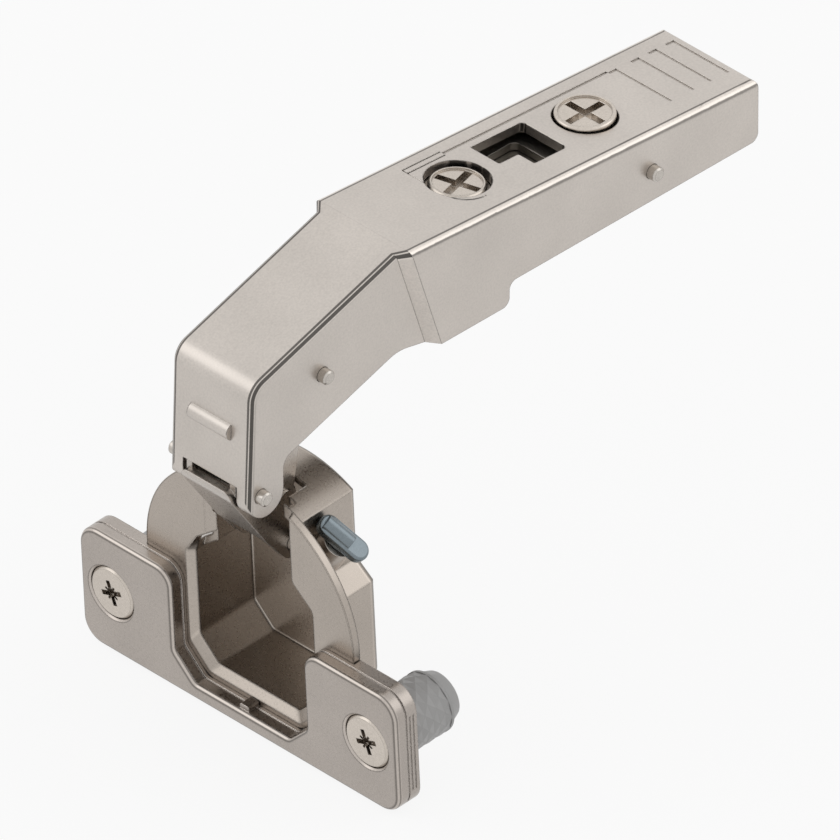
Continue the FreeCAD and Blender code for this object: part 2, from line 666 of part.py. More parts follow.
def release_lever():
    """Sprung lever between the clip walls: hook in front, thumb end at the rear."""
    half = CLIP_HALF - CLIP_SHEET - SLIDE_GAP
    x, z = RELEASE_X, RELEASE_Z
    reach = 2 * RELEASE_R
    hub = cross_rod(RELEASE_R, half, x, z)
    hub = hub.common(block(x - reach, x + reach, -half, half, z - reach, z + RELEASE_FLAT))
    hook = [(x, z - RELEASE_NECK, 0), (x, z - RELEASE_LOW, 0),
            (x - HOOK_HEEL, z - RELEASE_LOW - HOOK_DROP, HOOK_R),
            (x - HOOK_TIP, z - HOOK_TIP_LOW, HOOK_TIP_R), (x - HOOK_LIP, z - RELEASE_FLAT, HOOK_LIP_R)]
    tail = [(x, z + RELEASE_FLAT, 0), (x + THUMB_REACH, z + THUMB_HIGH, THUMB_R),
            (x + THUMB_REACH, z - THUMB_LOW, THUMB_R), (x, z - RELEASE_THICK, 0)]
    body = hub.fuse([side_slab(hook, half), side_slab(tail, half)])
    bore = cross_rod(RELEASE_PIN_R + RUN_GAP, half * 2, x, z)
    well = cross_rod(RELEASE_PIN_R + SPRING_WIRE * 3, RELEASE_WELL_HALF, x, z)
    slot = block(x - RELEASE_SLOT_BACK, x + RELEASE_SLOT, -RELEASE_WELL_HALF, RELEASE_WELL_HALF,
                 z, z + reach)
    return body.cut([bore, well, slot]).removeSplitter()


def wire_section(radius, ring_r):
    """Hexagonal wire section at the start of a coil."""
    corners = []
    for step in range(7):
        angle = math.pi * step / 3
        corners.append(V(ring_r + radius * math.cos(angle), 0, radius * math.sin(angle)))
    return Part.makePolygon(corners)


def coil(pin_r, wire, turns, x, z):
    """Wound spring round a cross pin, centred across the arm."""
    pitch = wire * 1.15
    ring_r = pin_r + 0.2 + wire / 2
    helix = Part.makeHelix(pitch, pitch * turns, ring_r)
    body = Part.Wire(helix).makePipeShell([wire_section(wire / 2, ring_r)], True, True)
    body.rotate(V(0, 0, 0), V(1, 0, 0), -90)
    body.translate(V(x, -pitch * turns / 2, z))
    return body


def release_spring():
    return coil(RELEASE_PIN_R, SPRING_WIRE, 4, RELEASE_X, RELEASE_Z)


def closing_spring():
    return coil(PIN_R, 0.8, 3, PIN_B_X, PIN_B_Z)


def lever_line(x0, z0, x1, z1):
    """Unit vectors along a lever and to its left, and the two ends."""
    a, b = V(x0, 0, z0), V(x1, 0, z1)
    along = b - a
    along.normalize()
    left = V(-along.z, 0, along.x)
    return a, b, along, left


def outer_outline(a, c, along, left):
    """Side view of the outer lever: wrapped round pin A in front, an eye at pin C."""
    front_x = a.x - OUTER_FRONT
    foot = a - left * OUTER_FRONT
    corner = foot + along * ((front_x - foot.x) / along.x)
    stop = c - along * OUTER_WEB_STOP - left * OUTER_FRONT
    eye, top = OUTER_EYE_R, OUTER_TOP_EYE_R
    end = [c + along * eye - left * eye, c + along * eye + left * eye]
    back = [a - along * top + left * top, a - along * top - left * (top - 0.2)]
    return [(front_x, a.z + 0.1, 0), (corner.x, corner.z, OUTER_FRONT), (stop.x, stop.z, 2.0),
            (end[0].x, end[0].z, eye - 0.05), (end[1].x, end[1].z, eye - 0.05),
            (back[0].x, back[0].z, top - 0.05), (back[1].x, back[1].z, 0.6)]


def outer_lever():
    """Folded link from pin A to pin C: a web on the front and two flanges with eyes."""
    c_x, c_z = cup_point(PIN_C_D, PIN_C_B)
    a, c, along, left = lever_line(PIN_A_X, PIN_A_Z, c_x, c_z)
    raw = side_slab(outer_outline(a, c, along, left), OUTER_HALF)
    inner_half = OUTER_HALF - OUTER_SHEET
    depth = OUTER_FRONT - OUTER_SHEET
    inner_x = a.x - depth
    foot = a - left * depth
    corner = foot + along * ((inner_x - foot.x) / along.x)
    far = c + along * 6
    web_end = c - along * OUTER_WEB_STOP
    hollow = side_slab([(inner_x, a.z + 6, 0), (corner.x, corner.z, depth),
                        ((far - left * depth).x, (far - left * depth).z, 0),
                        ((far + left * 8).x, (far + left * 8).z, 0),
                        (a.x + 12, a.z + 6, 0)], inner_half)
    points = [web_end - left * 6, far - left * 6, far + left * 4, web_end + left * 4]
    window = side_slab([(p.x, p.z, 0) for p in points], inner_half)
    top = a.z + 0.1
    reach = 3 * OUTER_FRONT
    corner_block = block(a.x - reach, a.x - OUTER_TOP_EYE_R - 0.05, -OUTER_HALF - 1,
                         OUTER_HALF + 1, top - KNUCKLE_R, top + reach)
    low = top - reach
    plate = face_slab([(-OUTER_HALF, low, 0), (OUTER_HALF, low, 0),
                       (OUTER_HALF, top, KNUCKLE_R), (-OUTER_HALF, top, KNUCKLE_R)],
                      a.x - reach - 1, reach * 2)
    bores = [cross_rod(PIN_R + RUN_GAP, REAR_WIDTH, PIN_A_X, PIN_A_Z),
             cross_rod(PIN_CUP_R + RUN_GAP, REAR_WIDTH, c_x, c_z)]
    return raw.cut([hollow, window, corner_block.cut(plate)] + bores).removeSplitter()


def inner_lever():
    """Folded link from pin B to pin D: two side plates and a bridge between them."""
    d_x, d_z = cup_point(PIN_D_D, PIN_D_B)
    a, d, along, left = lever_line(PIN_B_X, PIN_B_Z, d_x, d_z)

    def strip(lo, hi, start, end, half, y=0.0):
        corners = [a + along * start + left * lo, d + along * end + left * lo,
                   d + along * end + left * hi, a + along * start + left * hi]
        return side_slab([(p.x, p.z, 0) for p in corners], half, y)

    parts = []
    for side in (-1, 1):
        y = side * (INNER_HALF - INNER_SHEET / 2)
        parts.append(strip(-INNER_SHANK, INNER_SHANK, 0, 0, INNER_SHEET / 2, y))
        parts.append(cross_rod(INNER_TOP_EYE_R, INNER_SHEET / 2, PIN_B_X, PIN_B_Z, y))
        parts.append(cross_rod(INNER_EYE_R, INNER_SHEET / 2, d_x, d_z, y))
    bridge = strip(INNER_SHANK - INNER_SHEET, INNER_SHANK, 3.4, -2.6, INNER_HALF - 0.5)
    body = parts[0].fuse(parts[1:] + [bridge])
    bores = [cross_rod(PIN_R + RUN_GAP, REAR_WIDTH, PIN_B_X, PIN_B_Z),
             cross_rod(PIN_CUP_R + PRESS_GAP, REAR_WIDTH, d_x, d_z)]
    return body.cut(bores).removeSplitter()


def pin_c():
    return cup(cross_rod(PIN_CUP_R, NECK_HALF - 0.05, PIN_C_D, PIN_C_B))


def pin_d():
    d_x, d_z = cup_point(PIN_D_D, PIN_D_B)
    return cross_rod(PIN_CUP_R, INNER_HALF + 0.4, d_x, d_z)


def body_section(inset):
    """Outline of the wide lower part of the pot, across and up."""
    half, floor = POT_HALF - inset, POT_FLOOR + inset
    cut = POT_CHAMFER - inset * 0.4
    return [(half, SHOULDER_B - inset * 0.6, 0), (half, floor + cut, 1.0),
            (half - cut, floor, 1.0), (cut - half, floor, 1.0), (-half, floor + cut, 1.0),
            (-half, SHOULDER_B - inset * 0.6, 0),
            (inset - NECK_HALF, SHOULDER_B + SHOULDER_RISE - inset * 0.6, 0),
            (NECK_HALF - inset, SHOULDER_B + SHOULDER_RISE - inset * 0.6, 0)]


def neck_solid(inset, front, back):
    half = NECK_HALF - inset
    slab = block(front, back, -half, half, 2.0, DISC_B + BORE_R + 2)
    return slab.common(Part.makeCylinder(BORE_R - inset, back - front, V(front, 0, DISC_B),
                                         V(1, 0, 0)))


def back_edges(shape, depth):
    return [e for e in shape.Edges if abs(e.BoundBox.XMin - depth) < 0.01
            and abs(e.BoundBox.XMax - depth) < 0.01]


def pot_solid(inset, front):
    wide = face_slab(body_section(inset), front, POT_DEPTH - inset - front)
    round_part = Part.makeCylinder(BORE_R - inset, POT_DEPTH, V(front, 0, DISC_B), V(1, 0, 0))
    wide = wide.common(round_part)
    wide = wide.makeFillet(POT_R - inset, back_edges(wide, POT_DEPTH - inset))
    neck = neck_solid(inset, front, NECK_DEPTH - inset)
    neck = neck.makeFillet(NECK_R, back_edges(neck, NECK_DEPTH - inset))
    return wide.fuse(neck)


def rim_opening():
    """Keyhole through the rim, rolled inward: wider at the front face than at the pot's wall."""
    top = DISC_B + DISC_R + 2

    def outline(depth, near_slot, half, floor, chamfer):
        points = [(-near_slot, top, 0), (-near_slot, SLOT_NEAR_B, 1.0), (-half, RIM_NEAR_B, 1.5),
                  (-half, floor + chamfer, 0.8), (chamfer - half, floor, 0.8),
                  (half - chamfer, floor, 0.8), (half, floor + chamfer, 0.8),
                  (half, RIM_FAR_B, 1.2), (HOOK_Y, HOOK_B, 0.8), (SLOT_FAR_Y, SLOT_FAR_B, 0.8),
                  (SLOT_FAR_Y, top, 0)]
        return rounded_wire(points, lambda p: V(depth, p.x, p.y))

    front = outline(DISC_FRONT, SLOT_NEAR_Y, RIM_HALF, RIM_FLOOR, RIM_CHAMFER)
    back = outline(DISC_FRONT + RIM_ROLL, NECK_HALF - POT_SHEET, POT_HALF - POT_SHEET,
                   POT_FLOOR + POT_SHEET, POT_CHAMFER)
    rolled = Part.makeLoft([front, back], True, True)
    straight = Part.Face(back).extrude(V(DISC_THICK, 0, 0))
    round_pot = Part.makeCylinder(BORE_R - POT_SHEET, 5, V(DISC_FRONT, 0, DISC_B), V(1, 0, 0))
    lead = Part.Face(front).extrude(V(-1, 0, 0))
    return rolled.fuse([straight.common(round_pot), lead])


def nose_box(extra, low):
    """Where the damper slider's nose crosses the neck's wall, from low up to its top."""
    back = NECK_DEPTH - POT_SHEET - 0.5
    return block(back - NOSE_DEEP - extra, back + extra, LEVER_DOOR_HALF + 1.0, NECK_HALF + 0.5,
                 low - extra, SLIDER_HIGH - 0.2 + extra)


def nose_slot():
    return nose_box(SLIDE_GAP, SLIDER_HIGH - NOSE_HIGH - SLIDER_TRAVEL)


def cup_shell():
    """Rim disc and pot: a wide lower pot, and a narrow neck that is open for the levers."""
    disc = Part.makeCylinder(DISC_R, DISC_THICK, V(DISC_FRONT, 0, DISC_B), V(1, 0, 0))
    outer = disc.fuse(pot_solid(0, DISC_FRONT + 0.2))
    inner = pot_solid(POT_SHEET, DISC_FRONT + 0.1)
    high = DISC_B + BORE_R + 3
    door = block(DISC_FRONT, LEVER_DOOR_BACK, -LEVER_DOOR_HALF, LEVER_DOOR_HALF, 20, high)
    wide_door = block(DISC_FRONT, LEVER_DOOR_STEP, -LEVER_DOOR_WIDE, LEVER_DOOR_WIDE, 20, high)
    bore = cross_rod(PIN_CUP_R + PRESS_GAP, 20, PIN_C_D, PIN_C_B)
    shell = outer.cut([inner, rim_opening(), door, wide_door, bore, nose_slot()])
    shell = shell.removeSplitter()
    return cup(shell)


def plate_outline(inset):
    """Outline of the plate with its U mouth, drawn inset from the real edge."""
    half, top, bottom = PLATE_HALF - inset, PLATE_TOP - inset, PLATE_BOTTOM + inset
    mouth, floor = MOUTH_HALF + inset, MOUTH_FLOOR - inset
    return [(-half, bottom, PLATE_R), (half, bottom, PLATE_R), (half, top, PLATE_R),
            (mouth, top, MOUTH_TOP_R), (mouth, floor + MOUTH_CHAMFER, 1.2),
            (mouth - MOUTH_CHAMFER, floor, 1.2), (MOUTH_CHAMFER - mouth, floor, 1.2),
            (-mouth, floor + MOUTH_CHAMFER, 1.2), (-mouth, top, MOUTH_TOP_R),
            (-half, top, PLATE_R)]


def plate_grooves():
    """Fine groove round the plate's edge, and more of them across its two ends."""
    ring = face_slab(plate_outline(-1), EDGE_GROOVE_X, GROOVE_WIDTH)
    cuts = [ring.cut(face_slab(plate_outline(GROOVE_DEPTH), EDGE_GROOVE_X, GROOVE_WIDTH))]
    low, high = PLATE_BOTTOM + PLATE_R, PLATE_TOP - PLATE_R
    for depth in END_GROOVES_X:
        for side in (-1, 1):
            y = side * PLATE_HALF
            cuts.append(block(depth, depth + GROOVE_WIDTH, y - GROOVE_DEPTH, y + GROOVE_DEPTH,
                              low, high))
    return cuts


def wing_plate():
    """Front plate with the U opening and two screw seats, recessed for the rim disc."""
    plate = face_slab(plate_outline(0), 0, PLATE_THICK)
    front = [e for e in plate.Edges if e.BoundBox.XMax < 0.01]
    plate = plate.makeFillet(PLATE_EDGE_R, front)
    disc = Part.makeCylinder(DISC_R + FACE_GAP, PLATE_THICK, V(DISC_FRONT - 0.02, 0, DISC_B),
                             V(1, 0, 0))
    cuts = [disc] + plate_grooves()
    for side in (-1, 1):
        centre = V(-1, side * PLATE_SCREW_Y, 0)
        seat_r = PLATE_SCREW_R + 0.08
        cuts.append(Part.makeCylinder(seat_r, 3.3, centre, V(1, 0, 0)))
        cuts.append(Part.makeCone(seat_r + SEAT_BEVEL, seat_r, SEAT_BEVEL,
                                  V(0, side * PLATE_SCREW_Y, 0), V(1, 0, 0)))
        cuts.append(Part.makeCylinder(DOWEL_R - 0.6, 9, centre, V(1, 0, 0)))
        cuts.append(Part.makeCylinder(DOWEL_R + FACE_GAP, 5,
                                      V(PLATE_THICK - DOWEL_SEAT, side * PLATE_SCREW_Y, 0),
                                      V(1, 0, 0)))
    top = MOUTH_FLOOR + NIB_HEIGHT
    nib = face_slab([(-NIB_HALF, MOUTH_FLOOR - 0.5, 0), (NIB_HALF, MOUTH_FLOOR - 0.5, 0),
                     (NIB_HALF, top, 0.3), (-NIB_HALF, top, 0.3)], PLATE_EDGE_R,
                    DISC_FRONT - PLATE_EDGE_R - FACE_GAP)
    return cup(plate.cut(cuts).fuse(nib).removeSplitter())


def wing_screw(side):
    """Flush screw of the plate; its taper spreads the dowel."""
    y = side * PLATE_SCREW_Y
    face = 0.05
    head = Part.makeCylinder(PLATE_SCREW_R, 2.0, V(face, y, 0), V(1, 0, 0))
    head = head.makeChamfer(SEAT_BEVEL, [e for e in head.Edges if e.BoundBox.XMax < face + 0.01])
    shank = Part.makeCylinder(DOWEL_BORE_R - 0.15, PLATE_THICK + DOWEL_BORE - FACE_GAP - 1.0,
                              V(1.0, y, 0), V(1, 0, 0))
    star = cross_recess(1.15, 0.35, 0.5)
    star.rotate(V(0, 0, 0), V(0, 0, 1), 45)
    recess = cross_recess(1.8, 0.7, 1.1).fuse(star)
    recess.rotate(V(0, 0, 0), V(0, 0, 1), 20)
    recess.rotate(V(0, 0, 0), Y_AXIS, -90)
    recess.translate(V(face, y, 0))
    return cup(head.fuse(shank).cut(recess).removeSplitter())


def faceted_skin(radius, length, start, y):
    """Knurl: rings of points, each turned half a step, joined by flat triangles."""
    rings = []
    for band in range(FACET_BANDS + 1):
        shift = 0.5 if band % 2 else 0.0
        x = start + length * band / FACET_BANDS
        ring = []
        for step in range(FACETS_ROUND):
            angle = 2 * math.pi * (step + shift) / FACETS_ROUND
            ring.append(V(x, y + radius * math.cos(angle), radius * math.sin(angle)))
        rings.append(ring)
    faces = []
    for band in range(FACET_BANDS):
        low, high = rings[band], rings[band + 1]
        ahead = band % 2
        for step in range(FACETS_ROUND):
            nxt = (step + 1) % FACETS_ROUND
            tip_low = high[nxt] if ahead else high[step]
            tip_high = low[step] if ahead else low[nxt]
            faces.append(Part.Face(Part.makePolygon([low[step], low[nxt], tip_low, low[step]])))
            faces.append(Part.Face(Part.makePolygon([high[step], high[nxt], tip_high,
                                                     high[step]])))
    for ring in (rings[0], rings[-1]):
        faces.append(Part.Face(Part.makePolygon(ring + [ring[0]])))
    return Part.makeSolid(Part.makeShell(faces))


def dowel(side):
    """Knurled dowel behind the plate: plain bands at both ends of its grip, and a blind bore."""
    y = side * PLATE_SCREW_Y
    seat, back = PLATE_THICK - DOWEL_SEAT + PRESS_GAP, PLATE_THICK + PRESS_GAP
    grip, end = back + DOWEL_BAND, back + DOWEL_STRAIGHT
    grip_end = end - DOWEL_END_BAND

    def rod(radius, x0, x1):
        return Part.makeCylinder(radius, x1 - x0, V(x0, y, 0), V(1, 0, 0))

    collar = rod(DOWEL_R - DOWEL_COLLAR_STEP, seat - DOWEL_COLLAR, seat + PRESS_GAP)
    neck = rod(DOWEL_R - PRESS_GAP * 5, seat, back)
    skin = faceted_skin(DOWEL_R, grip_end - grip, grip, y)
    tip = Part.makeCone(DOWEL_R * 0.94, DOWEL_TIP_R, DOWEL_LENGTH - DOWEL_STRAIGHT,
                        V(end, y, 0), V(1, 0, 0))
    body = skin.fuse([rod(DOWEL_R, back, grip), rod(DOWEL_R, grip_end, end), neck, tip, collar])
    bore = rod(DOWEL_BORE_R, 0, back + DOWEL_BORE)
    return cup(body.cut(bore).removeSplitter())


def switch_frame(shape):
    """From the switch's own frame (depth, along the rim, outward) to the cup's frame."""
    out = shape.copy()
    out.rotate(V(0, 0, 0), V(1, 0, 0), 90 - SWITCH_ANGLE)
    angle = math.radians(SWITCH_ANGLE)
    out.translate(V(SWITCH_DEPTH, -SWITCH_RADIUS * math.cos(angle),
                    DISC_B + SWITCH_RADIUS * math.sin(angle)))
    return out


def switch_lever():
    """Round-ended bar on a short post, with a raised thumb pad."""
    r = SWITCH_WIDTH / 2
    half = SWITCH_LENGTH / 2
    points = [(-r, -half, r - 0.02), (r, -half, r - 0.02), (r, half, r - 0.02),
              (-r, half, r - 0.02)]
    wire = rounded_wire(points, lambda p: V(p.x, p.y, -SWITCH_THICK / 2))
    bar = Part.Face(wire).extrude(V(0, 0, SWITCH_THICK))
    edges = [e for e in bar.Edges if abs(e.BoundBox.ZMin - e.BoundBox.ZMax) < 0.01]
    bar = bar.makeFillet(0.45, edges)
    post_base = -SWITCH_THICK / 2 - SWITCH_POST_LENGTH
    post = Part.makeCylinder(SWITCH_POST_R, SWITCH_POST_LENGTH + 0.2, V(0, 0, post_base))
    pad_r = ((SWITCH_WIDTH * 0.36) ** 2 + PAD_HEIGHT ** 2) / (2 * PAD_HEIGHT)
    pad = Part.makeCylinder(pad_r, PAD_LENGTH, V(0, half - 0.7 - PAD_LENGTH,
                                                 SWITCH_THICK / 2 + PAD_HEIGHT - pad_r), Y_AXIS)
    pad = pad.common(block(-r, r, 0 - half, half, 0, SWITCH_THICK / 2 + PAD_HEIGHT + 1))
    body = bar.fuse([post, pad])
    body.rotate(V(0, 0, 0), V(0, 0, 1), SWITCH_TILT)
    return cup(switch_frame(body))


def damper_block():
    """Space on the far side between the neck and the bore circle, above the pot's shoulder."""
    low = SHOULDER_B + SHOULDER_RISE + 0.4
    front = DISC_FRONT + DISC_THICK + 0.05
    back = NECK_DEPTH - DAMPER_BACK
    ring = Part.makeCylinder(BORE_R - 0.2, back - front, V(front, 0, DISC_B), V(1, 0, 0))
    return ring.common(block(front, back, NECK_HALF + FACE_GAP, BORE_R, low,
                             DISC_B + BORE_R))


def switch_boss():
    """Tapered boss on the neck's side that carries the switch lever."""
    top = -SWITCH_THICK / 2 - FACE_GAP
    boss = Part.makeCone(BOSS_FOOT_R, BOSS_TOP_R, BOSS_LENGTH, V(0, 0, top - BOSS_LENGTH))
    base = -SWITCH_THICK / 2 - SWITCH_POST_LENGTH - FACE_GAP
    socket = Part.makeCylinder(SWITCH_POST_R + RUN_GAP, SWITCH_POST_LENGTH + 2, V(0, 0, base))
    neck = block(-1, 30, -NECK_HALF - 0.02, 20, 0, 40)
    return cup(switch_frame(boss.cut(socket)).cut(neck))


def slider_box(gap, low, high):
    back = NECK_DEPTH - POT_SHEET - 0.5 + 0.6
    near = NECK_HALF + FACE_GAP
    return block(back - SLIDER_DEEP - gap, back + gap, near - 0.01, near + SLIDER_WIDE + gap,
                 low - gap, high + gap)


def damper_body():
    """Closed housing on the far side that guides the slider against the neck."""
    floor = SLIDER_LOW - SLIDER_TRAVEL - 0.6
    return cup(damper_block().cut(slider_box(SLIDE_GAP, floor, SLIDER_HIGH)))


def damper_slider():
    """Block that the levers push down as the door closes; its nose crosses the neck's wall."""
    nose = nose_box(0, SLIDER_HIGH - NOSE_HIGH)
    return cup(slider_box(0, SLIDER_LOW, SLIDER_HIGH).fuse(nose).removeSplitter())


def damper_spring():
    floor = SLIDER_LOW - SLIDER_TRAVEL - 0.6
    coil_r = SLIDER_WIDE / 2 - DAMPER_WIRE / 2 - 0.1
    height = SLIDER_LOW - floor - DAMPER_WIRE - 0.1
    helix = Part.makeHelix(height / 4, height, coil_r)
    body = Part.Wire(helix).makePipeShell([wire_section(DAMPER_WIRE / 2, coil_r)], True, True)
    x = NECK_DEPTH - POT_SHEET - 0.5 + 0.6 - SLIDER_DEEP / 2
    y = NECK_HALF + FACE_GAP + SLIDER_WIDE / 2
    body.translate(V(x, y, floor + DAMPER_WIRE / 2 + 0.05))
    return cup(body)


def release_pin():
    return cross_rod(RELEASE_PIN_R, CLIP_HALF - 0.05, RELEASE_X, RELEASE_Z)


def rear_pin():
    return rivet(REAR_HALF, REAR_PIN_X, REAR_PIN_Z)


def parts():
    return {
        "clip_housing": clip_housing(),
        "release_pin": release_pin(),
        "release_lever": release_lever(),
        "release_spring": release_spring(),
        "adjuster_plate": adjuster_plate(),
        "depth_cam": depth_cam(),
        "rear_pin": rear_pin(),
        "arm_channel": arm_channel(),
        "side_screw": side_screw(),
        "pin_a": rivet(FRONT_HALF, PIN_A_X, PIN_A_Z),
        "pin_b": rivet(FRONT_HALF, PIN_B_X, PIN_B_Z),
        "closing_spring": closing_spring(),
        "outer_lever": outer_lever(),
        "inner_lever": inner_lever(),
        "pin_c": pin_c(),
        "pin_d": pin_d(),
        "cup_shell": cup_shell(),
        "wing_plate": wing_plate(),
        "wing_screw_near": wing_screw(-1),
        "wing_screw_far": wing_screw(1),
        "dowel_near": dowel(-1),
        "dowel_far": dowel(1),
        "switch_lever": switch_lever(),
        "switch_boss": switch_boss(),
        "damper_body": damper_body(),
        "damper_slider": damper_slider(),
        "damper_spring": damper_spring(),
    }


os.makedirs("parts", exist_ok=True)
for name, shape in parts().items():
    shape.exportStep("parts/" + name + ".step")
    print(name, "solids", len(shape.Solids), "volume", round(shape.Volume, 2),
          "valid", shape.isValid())
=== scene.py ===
import json

import bpy
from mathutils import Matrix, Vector


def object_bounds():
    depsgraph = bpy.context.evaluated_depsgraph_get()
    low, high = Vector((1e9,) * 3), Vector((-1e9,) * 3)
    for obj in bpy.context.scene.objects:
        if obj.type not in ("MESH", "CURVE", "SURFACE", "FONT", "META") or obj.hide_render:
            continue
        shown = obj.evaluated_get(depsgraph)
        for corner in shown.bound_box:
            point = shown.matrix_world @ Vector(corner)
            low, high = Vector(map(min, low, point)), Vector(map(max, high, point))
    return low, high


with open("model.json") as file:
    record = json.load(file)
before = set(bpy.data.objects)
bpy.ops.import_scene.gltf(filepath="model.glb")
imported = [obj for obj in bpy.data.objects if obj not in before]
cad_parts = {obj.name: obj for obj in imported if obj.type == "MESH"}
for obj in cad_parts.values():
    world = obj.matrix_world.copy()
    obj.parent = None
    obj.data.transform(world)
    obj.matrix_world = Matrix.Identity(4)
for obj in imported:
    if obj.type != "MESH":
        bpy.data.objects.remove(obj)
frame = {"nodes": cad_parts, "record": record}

cad_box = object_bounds()

# Camera: the photograph is an isometric view, seen from the nose's side
MM = 0.001
AIM = Vector((-17.96, 0.0, -27.29)) * MM
VIEW_WAY = Vector((-1.0, -1.0, 1.0)).normalized()
CAMERA_DISTANCE = 4.653
LENS = 1600.0             # lens and sensor in millimetres, all else in metres
SENSOR = 36.0
CLIP_END = 20.0

# Floor and sky
FLOOR_HALF = 3.0
FLOOR_DROP = 0.0004
FLOOR_TONE = 0.88
FLOOR_ROUGHNESS = 0.9
FLOOR_SHADOW = 0.12
SKY_FOR_DIFFUSE = 0.62

# Two soft square lamps that the folds and the plate's edges reflect: name, place, side, power
LAMPS = (("key", (0.62, -0.62, 0.60), 0.80, 1.4),
         ("fill", (-0.62, 0.62, 0.60), 0.70, 1.1))

# Detail of the surfaces, in features per metre
CLOUD = 90.0
SPECKLE = 3400.0
MOULDED_CLOUD = CLOUD * 2
PEBBLE = SPECKLE * 0.7
CLOUD_DETAIL = 5.0
MOULDED_DETAIL = 4.0
FINE_DETAIL = 3.0

# Reach of the rounded edges, the painted shade in crevices and the skin, in metres
SAMPLES = 8
EDGE = 0.00014
MOULDED_EDGE = 0.00010
PAINTED_SHADE_REACH = 0.0013
SKIN_HEIGHT = 0.00001
PLATED_SKIN = 0.35
MOULDED_SKIN = 0.6

# Tones by place on a ramp. Flat faces lie at FLAT and are lifted to 1, which leaves room for painted
# highlights
FLAT = 0.80
LIFT = 1.25
# Painted shade in crevices: its darkest grey and the span of its occlusion ramp
PAINTED_SHADE_DARKEST = 0.74
PAINTED_SHADE_SPAN = (0.20, 0.80)
# Painted highlight along edges: where its ramp ends, and its bright middle between painted dark borders
EDGE_TURN = 0.75
PAINTED_EDGE_LINES = ((0.0, FLAT), (0.16, 0.52), (0.45, 0.58), (0.78, 1.0))
SPECKLE_TONES = ((0.32, 0.88), (0.68, 1.0))
CLOUD_TONES = ((0.30, 0.97), (0.70, 1.07))
MOULDED_TONES = ((0.30, 0.92), (0.70, 1.06))
POLISH = ((0.3, 0.84), (0.7, 1.18))

# Painted reflections: light and dark lines painted along folds, from the faces that lie along an axis to
# the faces square to it.
# The arm's bent section has a second set.
SIDE_WAY = (0, 1, 0)
REAR_PAINTED_REFLECTIONS = ((0.03, 0.80), (0.08, 0.26), (0.20, 0.26), (0.28, 1.0), (0.60, 1.0),
              (0.74, 0.98), (0.81, 0.30), (0.91, 0.34), (0.97, 0.72), (0.995, 0.80))
BENT_PAINTED_REFLECTIONS = ((0.03, 0.80), (0.08, 0.20), (0.34, 0.18), (0.40, 0.90), (0.47, 0.90),
              (0.53, 0.14), (0.84, 0.14), (0.89, 0.90), (0.95, 0.70), (0.995, 0.80))
BENT_FROM = -0.002
BENT_FULL = -0.006
CUP_WAY = (0.9985, 0, 0.0539)
PLATE_PAINTED_REFLECTIONS = ((0.02, 0.80), (0.14, 1.0), (0.30, 0.50), (0.42, 0.40), (0.54, 1.0),
               (0.76, 1.0), (0.86, 0.36), (0.93, 0.40), (0.992, 0.80))
CUP_PAINTED_REFLECTIONS = ((0.02, 0.80), (0.12, 0.98), (0.30, 0.60), (0.50, 0.36), (0.68, 0.36),
             (0.78, 0.98), (0.86, 0.98), (0.94, 0.50), (0.992, 0.80))


def rgb(red, green, blue):
    """Linear colour from the 0 to 255 values of a display."""
    out = []
    for value in (red, green, blue):
        value = value / 255
        out.append(value / 12.92 if value <= 0.04045 else ((value + 0.055) / 1.055) ** 2.4)
    return (out[0], out[1], out[2], 1.0)


def grey(value):
    return (value, value, value, 1.0)


def shade(colour, factor):
    return (colour[0] * factor, colour[1] * factor, colour[2] * factor, 1.0)


def node(tree, kind, **inputs):
    """Adds a node and sets its plain inputs by name."""
    made = tree.nodes.new(kind)
    for name, value in inputs.items():
        made.inputs[name.replace("_", " ")].default_value = value
    return made


def calculate(tree, kind, operation):
    """Adds a math node for numbers or vectors."""
    made = tree.nodes.new(kind)
    made.operation = operation
    return made


def noise(tree, size, detail):
    """Noise in object space, with size features per metre."""
    place = tree.nodes.new("ShaderNodeTexCoord")
    made = node(tree, "ShaderNodeTexNoise", Scale=size, Detail=detail)
    tree.links.new(place.outputs["Object"], made.inputs["Vector"])
    return made.outputs["Fac"]


def ramp(tree, factor, stops):
    """Colour ramp through (place, colour) stops."""
    made = tree.nodes.new("ShaderNodeValToRGB")
    bands = made.color_ramp
    for spot, (place, colour) in enumerate(stops):
        stop = bands.elements[spot] if spot < 2 else bands.elements.new(place)
        stop.position = place
        stop.color = colour
    tree.links.new(factor, made.inputs["Fac"])
    return made.outputs["Color"]


def tones(tree, factor, stops, scale=1.0):
    """Ramp of greys through (place, value) stops, all times a scale."""
    return ramp(tree, factor, [(place, grey(scale * value)) for place, value in stops])


def blend(tree, way, first, second, factor=None):
    """Puts two colours together: MULTIPLY, or MIX by a factor."""
    made = tree.nodes.new("ShaderNodeMix")
    made.data_type = "RGBA"
    made.blend_type = way
    made.inputs["Factor"].default_value = 1.0
    if factor:
        tree.links.new(factor, made.inputs["Factor"])
    tree.links.new(first, made.inputs["A"])
    tree.links.new(second, made.inputs["B"])
    return made.outputs["Result"]


def multiply(tree, first, second):
    return blend(tree, "MULTIPLY", first, second)


def lift(tree, colour):
    """Scales a colour so that the tone of flat faces becomes 1."""
    made = calculate(tree, "ShaderNodeVectorMath", "SCALE")
    made.inputs["Scale"].default_value = LIFT
    tree.links.new(colour, made.inputs[0])
    return made.outputs["Vector"]


def edge_normal(tree, radius):
    """Normal that rounds every sharp edge by a small radius."""
    made = tree.nodes.new("ShaderNodeBevel")
    made.samples = SAMPLES
    made.inputs["Radius"].default_value = radius
    return made.outputs["Normal"]


